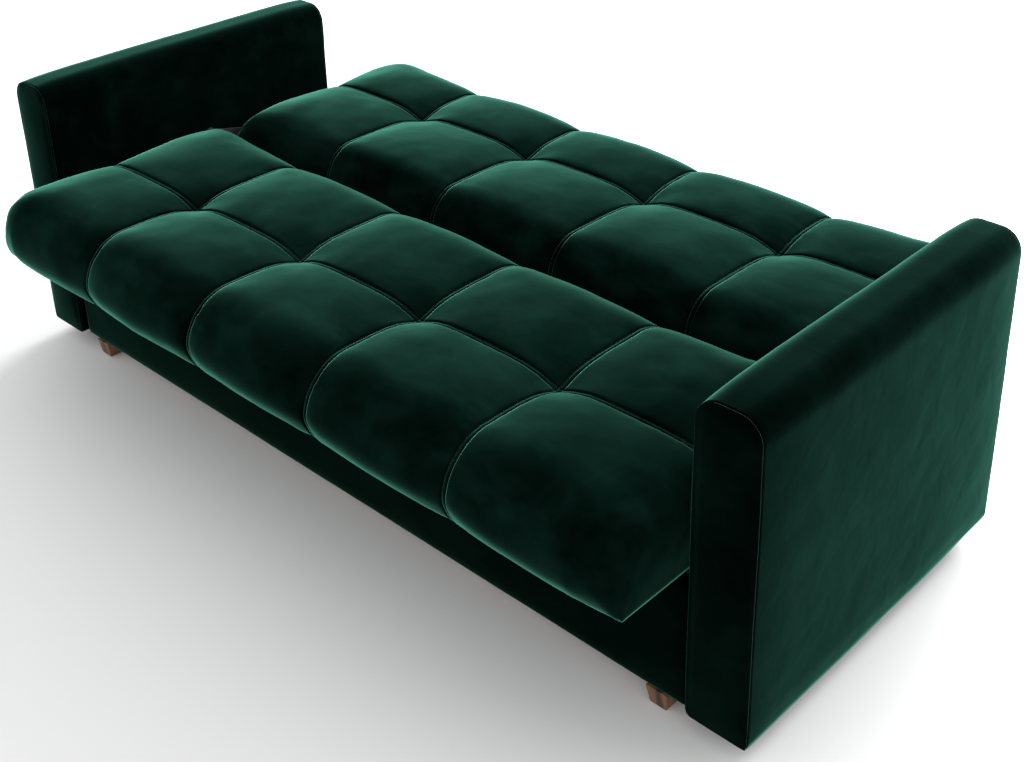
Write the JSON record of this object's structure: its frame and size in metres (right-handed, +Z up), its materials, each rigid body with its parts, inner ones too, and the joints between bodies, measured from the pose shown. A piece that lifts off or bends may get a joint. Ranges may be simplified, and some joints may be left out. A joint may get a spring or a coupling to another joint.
{
  "type": "sofa bed",
  "caption": "Sofa bed with a tufted seat mat and a fold-down back mat between padded arms, over a storage box on tapered feet.",
  "frame": {"origin": "on the floor, under the middle of the unfolded bed", "axes": "+Z up; +X to the right seen from the front; the front of the sofa faces -Y"},
  "size_m": [2.24, 1.32, 0.716],
  "materials": {
    "velvet": "deep green cotton velvet with a short pile",
    "board": "raw chipboard and pine",
    "foot_wood": "oiled beech, satin",
    "fasteners": "zinc plated",
    "mechanism_steel": "black powder coat, satin",
    "spring_steel": "drawn wire",
    "lining": "black non-woven dust cloth"
  },
  "bodies": {
    "root": {"base_front_panel": "board", "base_rear_panel": "board", "base_left_panel": "board", "base_right_panel": "board", "base_bottom_sheet": "board", "base_battens": "board", "base_foot_plates": "board", "base_front_cover": "velvet", "base_rear_cover": "velvet", "front_left_foot": "foot_wood", "front_right_foot": "foot_wood", "rear_left_foot": "foot_wood", "rear_right_foot": "foot_wood", "foot_bolts": "fasteners", "left_arm_frame": "board", "right_arm_frame": "board", "left_arm_cover": "velvet", "right_arm_cover": "velvet", "arm_dust_cloths": "lining", "arm_spacers": "board", "arm_bolts": "fasteners", "left_base_plate": "mechanism_steel", "right_base_plate": "mechanism_steel", "base_plate_screws": "fasteners", "lower_link_pins": "fasteners"},
    "front_links": {"front_left_link": "mechanism_steel", "front_right_link": "mechanism_steel"},
    "rear_links": {"rear_left_link": "mechanism_steel", "rear_right_link": "mechanism_steel"},
    "carriage": {"left_bracket": "mechanism_steel", "right_bracket": "mechanism_steel", "torsion_tube": "mechanism_steel", "upper_link_pins": "fasteners", "hinge_bolts": "fasteners"},
    "seat": {"seat_cushion": "velvet", "seat_frame": "board", "seat_springs": "spring_steel", "seat_lining": "lining", "seat_end_plates": "mechanism_steel", "seat_plate_screws": "fasteners"},
    "back": {"back_cushion": "velvet", "back_frame": "board", "back_springs": "spring_steel", "back_lining": "lining", "back_end_plates": "mechanism_steel", "back_plate_screws": "fasteners"}
  },
  "joints": [
    {"name": "bed_swing", "type": "hinge", "parent": "root", "child": "front_links", "pos_m": [0, -0.25, 0.18194], "axis": [-1, 0, 0], "range_deg": [0, 70]},
    {"name": "rear_link_swing", "type": "hinge", "parent": "root", "child": "rear_links", "pos_m": [0, 0.15, 0.18194], "axis": [-1, 0, 0], "range_deg": [0, 70]},
    {"name": "carriage_level", "type": "hinge", "parent": "front_links", "child": "carriage", "pos_m": [0, -0.34177, 0.313], "axis": [-1, 0, 0], "range_deg": [-70, 0]},
    {"name": "seat_lift", "type": "hinge", "parent": "carriage", "child": "seat", "pos_m": [0, -0.02, 0.461], "axis": [-1, 0, 0], "range_deg": [0, 50]},
    {"name": "back_fold", "type": "hinge", "parent": "carriage", "child": "back", "pos_m": [0, 0.125, 0.426], "axis": [1, 0, 0], "range_deg": [0, 80]}
  ],
  "couplings": [
    {"joint": "rear_link_swing", "follows": "bed_swing", "ratio": 1},
    {"joint": "carriage_level", "follows": "bed_swing", "ratio": -1}
  ]
}
